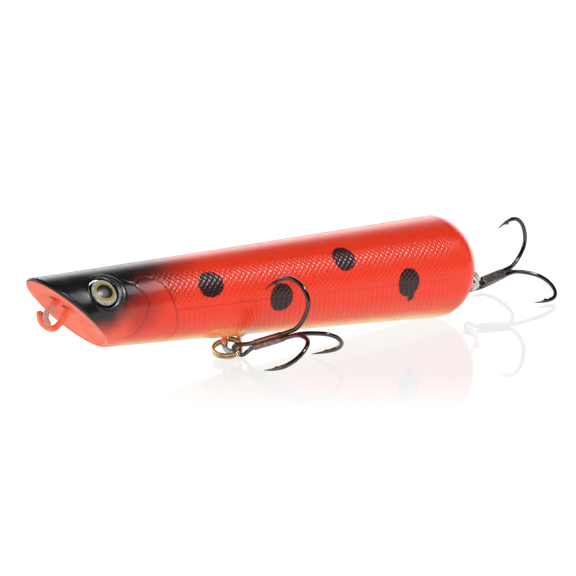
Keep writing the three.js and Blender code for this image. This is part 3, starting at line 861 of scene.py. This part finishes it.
def shell(name, side):
    """One half of the body: a closed hollow moulding with its relief, mouth face and eye pocket."""
    angles = skin_angles()
    x, height, skin = outer_skin(angles, side)
    outer, inner = np.concatenate([mouth_face(skin[0]), skin]), inner_skin(side)
    outer_count, inner_count = outer[..., 0].size, inner[..., 0].size
    outer_index = np.arange(outer_count).reshape(outer.shape[:2])
    inner_index = outer_count + np.arange(inner_count).reshape(inner.shape[:2])
    faces = grid_faces(*outer.shape[:2]) + grid_faces(*inner.shape[:2], outer_count)
    for edge in (0, -1):
        faces += zip_loops(outer[:, edge], inner[:, edge], outer_index[:, edge], inner_index[:, edge])

    fields = {}
    for key, values in skin_fields(x, height, angles, outer).items():
        fields[key] = np.concatenate([np.ravel(values), np.full(inner_count, INSIDE.get(key, 0.0))])
    verts = from_body(np.vstack([outer.reshape(-1, 3), inner.reshape(-1, 3)]))
    new_object(name + "_skin", verts, faces, PAINT, "lure_body", [name], fields)


shell("left_shell", -1)
shell("right_shell", 1)

# ---------------------------------------------------------------- fish eyes


# The print under the dome: each oval's centre towards the tail and up, its half length and half height.
PUPIL = (-0.05, 0.06, 1.85, 1.42)
GOLD_RING = (0.03, 0.03, 2.34, 1.92)
DOME_RINGS = 28
DOME_SIDES = 72


def oval(along, rise, centre_along, centre_rise, half_length, half_height):
    """Distance from an oval's centre, 1 on the oval itself."""
    return np.hypot((along - centre_along) / half_length, (rise - centre_rise) / half_height)


def eye_dome(name, side):
    """A glossy dome with the eye printed on it, seated in its pocket on a black skirt."""
    way, origin = eye_direction(side), eye_origin(side)
    up = np.cross(np.array([1.0, 0, 0]), way) * side
    profile = [
        (POCKET_RADIUS - 0.08, -EYE_FLOOR + 0.62), (POCKET_RADIUS - 0.14, -0.75), (DOME_RADIUS, -0.5),
        (DOME_RADIUS, -0.15),
    ]
    for k in range(DOME_RINGS + 1):
        a = k / DOME_RINGS * math.pi / 2
        profile.append((DOME_RADIUS * math.cos(a), DOME_HEIGHT * math.sin(a) ** 2 - 0.02))
    turn = np.arange(DOME_SIDES) / DOME_SIDES * 2 * math.pi
    verts, gold_values, pupil_values = [], [], []
    for radius, height in profile:
        along, rise = radius * np.cos(turn), DOME_FLAT * radius * np.sin(turn)
        verts.append(origin + np.outer(along, [1, 0, 0]) + np.outer(rise - DOME_DROP, up) + height * way)
        on_dome = 0.0 if height < -0.3 else 1.0
        pupil_values.append(on_dome * oval(along, rise, *PUPIL))
        gold_values.append(oval(along, rise, *GOLD_RING))
    faces = grid_faces(len(profile), DOME_SIDES, wrap=True)
    faces.append(tuple(range(DOME_SIDES)))
    fields = {"pupil": np.concatenate(pupil_values), "gold": np.concatenate(gold_values)}
    lens = name.replace("dome", "lens")
    new_object(name, from_body(np.vstack(verts)), faces, LENS, "lure_body", [lens], fields)


eye_dome("left_eye_dome", -1)
eye_dome("right_eye_dome", 1)

# ---------------------------------------------------------------- wire eyes


def eye_path(base, out, across, reach):
    """One wire: a loop outside, two legs inside, and a turned-out foot on each."""
    half = WIRE_SPREAD / 2
    at = lambda along, side: np.asarray(base) + np.asarray(out) * along + np.asarray(across) * side
    loop = reach - WIRE - half
    legs = [
        (-LEG_DEPTH, half + FOOT), (-LEG_DEPTH + 0.05, half + 1), (-LEG_DEPTH + 0.35, half + 0.35),
        (-LEG_DEPTH + 1, half + 0.04), (-LEG_DEPTH + 2, half), (loop, half),
    ]
    turns = [math.radians(a) for a in (30, 60, 90, 120, 150)]
    points = [at(*leg) for leg in legs]
    points += [at(loop + half * math.sin(a), half * math.cos(a)) for a in turns]
    points += [at(along, -side) for along, side in reversed(legs)]
    return points


def wire_eye(name, base, out, across, reach):
    """A hanger. Overspray from the body has caught the side of its neck that faces the nose."""
    path, _ = catmull_rom(eye_path(base, out, across, reach), WIRE_STEP)
    verts, faces = sweep(path, np.full(len(path), WIRE), WIRE_SIDES)
    along, side = (verts - base) @ out, (verts - base) @ across
    fields = {"sprayed": smooth((1.5 - along) / 0.7) * smooth((-side - 0.6) / 0.5)}
    new_object(name + "_wire", from_body(verts), faces, BARE_WIRE, "lure_body", [name], fields)


def tie_strand(name, points, material, replaces=(), flare=0.0):
    """A strand of the line tie, from (down the face, out of the face, to the right) round the loop's centre.

    flare is how much wider its first end is than its last, as where paint has pooled round a leg.
    """
    basis = np.array([MOUTH_DOWN, MOUTH_OUT, [0, 1, 0]])
    path, run = catmull_rom(TIE_CENTRE + np.array(points) @ basis, TIE_STEP)
    lumps = 0.035 * noise(run * 1.7, run * 0.31)
    ends = np.minimum(1, 0.55 + np.minimum(run, run[-1] - run) / 0.35)
    pooled = flare * (1 - run / run[-1]) ** 2
    verts, faces = sweep(path, (WIRE + PAINT_COAT + pooled + lumps) * ends, WIRE_SIDES)
    new_object(name, from_body(verts), faces, material, "lure_body", replaces)


tie_strand("line_tie_loop", [
    (1.75, -7, 0), (1.75, -2.8, 0), (1.72, -1.5, 0), (1.8, -0.3, 0), (1.55, 0.85, 0.12), (0.75, 1.6, 0.3),
    (-0.4, 1.75, 0.6), (-1.4, 1.55, 0.9), (-2, 1, 1.1), (-2.45, 0.55, 1.2), (-2.7, 0.25, 1.22),
], TIE_PAINT, ["line_tie"])
tie_strand("line_tie_lap", [
    (-1.75, -7, 0), (-1.75, -2.8, 0), (-1.8, -1.3, 0), (-2, 0, 0.1), (-1.65, 0.8, 0), (-0.9, 1.35, -0.25),
    (-0.2, 1.4, -0.45),
], TIE_WORN)
for which, down in (("upper", -1.75), ("lower", 1.75)):
    collar = [(down, out, 0) for out in (-4.6, -3.8, -3, -1.9)]
    tie_strand(f"line_tie_{which}_collar", collar, TIE_PAINT, flare=0.5)

UP = np.array([0, 0, 1.0])
TAILWARD = np.array([1.0, 0, 0])
BELLY_BASE = np.array([BELLY_EYE_X, 0, -body_radius(BELLY_EYE_X)])
TAIL_BASE = np.array([LENGTH, 0, TAIL_EYE_Z])
wire_eye("belly_hanger", BELLY_BASE, -UP, TAILWARD, BELLY_REACH)
wire_eye("tail_hanger", TAIL_BASE, TAILWARD, UP, TAIL_REACH)

# ---------------------------------------------------------------- split rings


def split_ring(name, place, start, material):
    """Two turns of flattened spring wire that all but touch, with rounded cut ends. start is in degrees."""
    middle = RING_OUTER / 2 - RING_WIRE
    per_turn, sides = 96, 16
    corner = np.arange(sides) / sides * 2 * math.pi
    powers = np.abs(np.cos(corner)) ** RING_SQUARENESS + np.abs(np.sin(corner)) ** RING_SQUARENESS
    squared = powers ** (-1 / RING_SQUARENESS)
    rows = []
    for i in range(2 * per_turn + 1):
        turn = i / per_turn
        angle = math.radians(start) + turn * 2 * math.pi
        rows_to_end = min(turn, 2 - turn) * per_turn
        size = 1 if rows_to_end > 2 else 0.8 + 0.1 * rows_to_end
        outward = middle + RING_WIRE * size * squared * np.cos(corner)
        rise = RING_RISE * (turn - 1) + RING_HALF_THICKNESS * size * squared * np.sin(corner)
        rows.append(np.stack([outward * math.cos(angle), outward * math.sin(angle), rise], 1))
    faces = grid_faces(len(rows), sides, wrap=True)
    last = (len(rows) - 1) * sides
    faces += [tuple(range(sides)), tuple(last + k for k in range(sides))]
    body = name.replace("split_", "")
    new_object(name + "_coils", place.put(np.vstack(rows)), faces, material, body, [name])


split_ring("belly_split_ring", BELLY_RING, 0, GOLD)
split_ring("tail_split_ring", TAIL_RING, TAIL_RING_START, NICKEL)

# ---------------------------------------------------------------- treble hooks


def hook_way(angle):
    """The way out from a treble's middle to one of its hooks."""
    return np.array([0, math.cos(angle), math.sin(angle)])


def on_hook(angle, along, offset):
    """A point of a hook, by its distance past the shank's end and out from the treble's middle."""
    scale = HOOK_SCALE if offset > 1 else 1
    return np.array([(along + SHANK_LENGTH) * HOOK_SCALE, 0, 0]) + hook_way(angle) * offset * scale


def hook_radius(to_tip):
    """The wire's radius, which is ground down to a needle point at its end."""
    ground = HOOK_TIP + (HOOK_WIRE - HOOK_TIP) * np.clip(to_tip / HOOK_GRIND, 0, 1) ** 0.8
    return np.where(to_tip > HOOK_GRIND, HOOK_WIRE, ground)


def barb(to_tip):
    """How far the barb stands up: it rises slowly from the tip's side and drops at once behind."""
    rising = np.clip((to_tip - BARB_START) / (BARB_PEAK - BARB_START), 0, 1)
    falling = np.clip((BARB_END - to_tip) / (BARB_END - BARB_PEAK), 0, 1)
    return BARB_HEIGHT * np.where(to_tip < BARB_PEAK, rising, falling)


def hook_wire(path, tips, angles):
    """A swept hook wire. tips holds the distance of every point to the hook point at either end."""
    nearest = np.min(tips, axis=0)
    radii = hook_radius(nearest)
    which = np.argmin(tips, axis=0)

    def push(i, ways):
        rise = barb(nearest[i])
        if rise <= 0:
            return 0
        inner = np.clip(ways @ -hook_way(angles[which[i]]), 0, 1)
        return rise * inner ** 5

    return sweep(path, radii, HOOK_SIDES, push)


def bend_points(angle):
    """The path of a hook from its shank to its point."""
    return [on_hook(angle, *p) for p in BEND] + [on_hook(angle, *POINT_TIP)]


def treble(name, place):
    """Two hooks bent from one wire with the eye between them, a lone hook under them, and the braze."""
    lone = math.pi
    points = [on_hook(lone, along, SHANK_OFFSET) for along in (-7.2, -3.5, 0)] + bend_points(lone)
    path, run = catmull_rom(points, HOOK_STEP)
    verts, faces = hook_wire(path, [run[-1] - run], [lone])
    body, slot = name, "hook_black_nickel"
    new_object(name + "_lone_hook", place.put(verts), faces, BLACK_NICKEL, body, [name + "_single"])

    angle = math.pi / 3
    side = bend_points(angle)[::-1]
    side += [on_hook(angle, along, SHANK_OFFSET) for along in (0, -4, -7.2)]
    for turn in (60, 90, 120, 150):
        a = math.radians(turn)
        side.append(np.array([TREBLE_EYE * math.cos(a), EYE_SET, TREBLE_EYE * math.sin(a)]))
    mirrored = [p * np.array([1, 1, -1]) for p in reversed(side)]
    path, run = catmull_rom(side + [np.array([-TREBLE_EYE, EYE_SET, 0])] + mirrored, HOOK_STEP)
    verts, faces = hook_wire(path, [run, run[-1] - run], [angle, -angle])
    new_object(name + "_bent_pair", place.put(verts), faces, BLACK_NICKEL, body, [name + "_pair"])

    stations = np.linspace(BRAZE_START, BRAZE_END, 60)
    line = np.stack([(stations + SHANK_LENGTH) * HOOK_SCALE, 0 * stations, 0 * stations], 1)
    ends = smooth((stations - BRAZE_START) / 0.8) * smooth((BRAZE_END - stations) / 2.2)
    lobes = [hook_way(a) for a in (angle, -angle, lone)]

    def fill(i, ways):
        """More braze beside each wire than between them."""
        toward = np.max([ways @ lobe for lobe in lobes], axis=0)
        return 0.46 * ends[i] * smooth((toward - 0.5) / 0.5)

    verts, faces = sweep(line, 0.12 + 0.56 * ends, 24, fill)
    new_object(name + "_braze", place.put(verts), faces, BRAZE, body)


treble("belly_treble", BELLY_TREBLE)
treble("tail_treble", TAIL_TREBLE)

# ---------------------------------------------------------------- floor, light and camera

FLOOR_GAP = 0.00005
FLOOR_HALF = 4.0
CAMERA_SIDE = (-0.668, -0.744)     # the way along the floor to the camera


def floor_look():
    """A glossy white light table that shines a little brighter in front of the lure."""
    n = Nodes("floor")
    split = n.add("ShaderNodeSeparateXYZ", {0: n.position()})
    east, north = (n.math("MULTIPLY", split.outputs[i], CAMERA_SIDE[i]) for i in (0, 1))
    toward = n.math("ADD", east, north)
    n.set(Base_Color=(0.02, 0.02, 0.02, 1), Roughness=0.04, IOR=1.09)
    n.set(Emission_Color=(1, 1, 1, 1), Emission_Strength=n.remap(toward, -0.02, 0.03, 0.83, 1.0))
    return n.material


floor_mesh = bpy.data.meshes.new("floor")
floor_z = cad_box[0][2] - FLOOR_GAP
floor_corners = [(x * FLOOR_HALF, y * FLOOR_HALF, floor_z) for x, y in ((-1, -1), (1, -1), (1, 1), (-1, 1))]
floor_mesh.from_pydata(floor_corners, [], [(0, 1, 2, 3)])
floor_mesh.materials.append(floor_look())
floor = bpy.data.objects.new("floor", floor_mesh)
bpy.context.scene.collection.objects.link(floor)


def area_light(name, location, target, size, radiance, glossy=True, diffuse=True):
    """An oval soft light of a given radiance, aimed at a target."""
    data = bpy.data.lights.new(name, "AREA")
    data.shape = "ELLIPSE"
    data.size, data.size_y = size
    data.energy = radiance * math.pi ** 2 / 4 * size[0] * size[1]
    obj = bpy.data.objects.new(name, data)
    obj.location = location
    obj.rotation_euler = (Vector(target) - Vector(location)).to_track_quat("-Z", "Y").to_euler()
    obj.visible_glossy = glossy
    obj.visible_diffuse = diffuse
    bpy.context.scene.collection.objects.link(obj)


MIDDLE = Vector((0.05, 0, 0))
SHOULDER = Vector((0.02, 0, 0))
FLANK = Vector((0.03, 0, 0))
LAMP_DISTANCE = 0.55
key_place = SHOULDER + Vector((0.5, -0.56, 0.64)).normalized() * LAMP_DISTANCE
glint_place = FLANK + Vector((0.3, -0.62, 0.72)).normalized() * LAMP_DISTANCE
area_light("key", key_place, SHOULDER, (0.34, 0.2), 3.2)
area_light("glint", glint_place, FLANK, (0.12, 0.08), 34.0, diffuse=False)
area_light("top", (0.0, -0.3, 0.65), MIDDLE, (0.5, 0.4), 0.6, glossy=False)
area_light("front_fill", (-0.5, -0.75, 0.4), MIDDLE, (0.8, 0.8), 3.0, glossy=False)
area_light("tail_fill", (0.9, -0.5, 0.3), MIDDLE, (0.7, 0.7), 1.9, glossy=False)


def make_world():
    """Bright behind the lure up to about forty degrees, dim at the front, dark overhead."""
    world = bpy.data.worlds.new("studio")
    bpy.context.scene.world = world
    world.use_nodes = True
    tree = world.node_tree
    background = tree.nodes["Background"]
    coords = tree.nodes.new("ShaderNodeTexCoord")
    split = tree.nodes.new("ShaderNodeSeparateXYZ")
    tree.links.new(coords.outputs["Generated"], split.inputs[0])

    def scaled(value, low, high, to_low, to_high):
        node = tree.nodes.new("ShaderNodeMapRange")
        node.interpolation_type = "SMOOTHSTEP"
        for key, number in zip(("From Min", "From Max", "To Min", "To Max"), (low, high, to_low, to_high)):
            node.inputs[key].default_value = number
        tree.links.new(value, node.inputs["Value"])
        return node.outputs[0]

    def combined(operation, a, b):
        node = tree.nodes.new("ShaderNodeMath")
        node.operation = operation
        for socket, value in zip(node.inputs, (a, b)):
            if isinstance(value, float):
                socket.default_value = value
            else:
                tree.links.new(value, socket)
        return node.outputs[0]

    behind = scaled(split.outputs["Y"], 0.05, 0.3, 0.0, 1.0)
    low = scaled(split.outputs["Z"], 0.4, 0.68, 1.0, 0.0)
    strength = combined("ADD", combined("MULTIPLY", combined("MULTIPLY", behind, low), 2.2), 0.07)
    tree.links.new(strength, background.inputs["Strength"])
    background.inputs["Color"].default_value = (1, 1, 1, 1)


make_world()

CAMERA_AZIMUTH = math.radians(-41.94)
CAMERA_ELEVATION = math.radians(11.46)
CAMERA_DISTANCE = 0.7872
CAMERA_TARGET = Vector((0.0550, -0.0044, -0.0008))

camera_data = bpy.data.cameras.new("camera")
camera_data.lens = 252.8
camera_data.sensor_width = 36
camera_data.clip_end = 20
camera = bpy.data.objects.new("camera", camera_data)
bpy.context.scene.collection.objects.link(camera)
camera_way = Vector((
    math.sin(CAMERA_AZIMUTH) * math.cos(CAMERA_ELEVATION),
    -math.cos(CAMERA_AZIMUTH) * math.cos(CAMERA_ELEVATION),
    math.sin(CAMERA_ELEVATION),
))
camera.location = CAMERA_TARGET + camera_way * CAMERA_DISTANCE
camera.rotation_euler = (-camera_way).to_track_quat("-Z", "Y").to_euler()
bpy.context.scene.camera = camera
bpy.context.scene.view_settings.view_transform = "Standard"
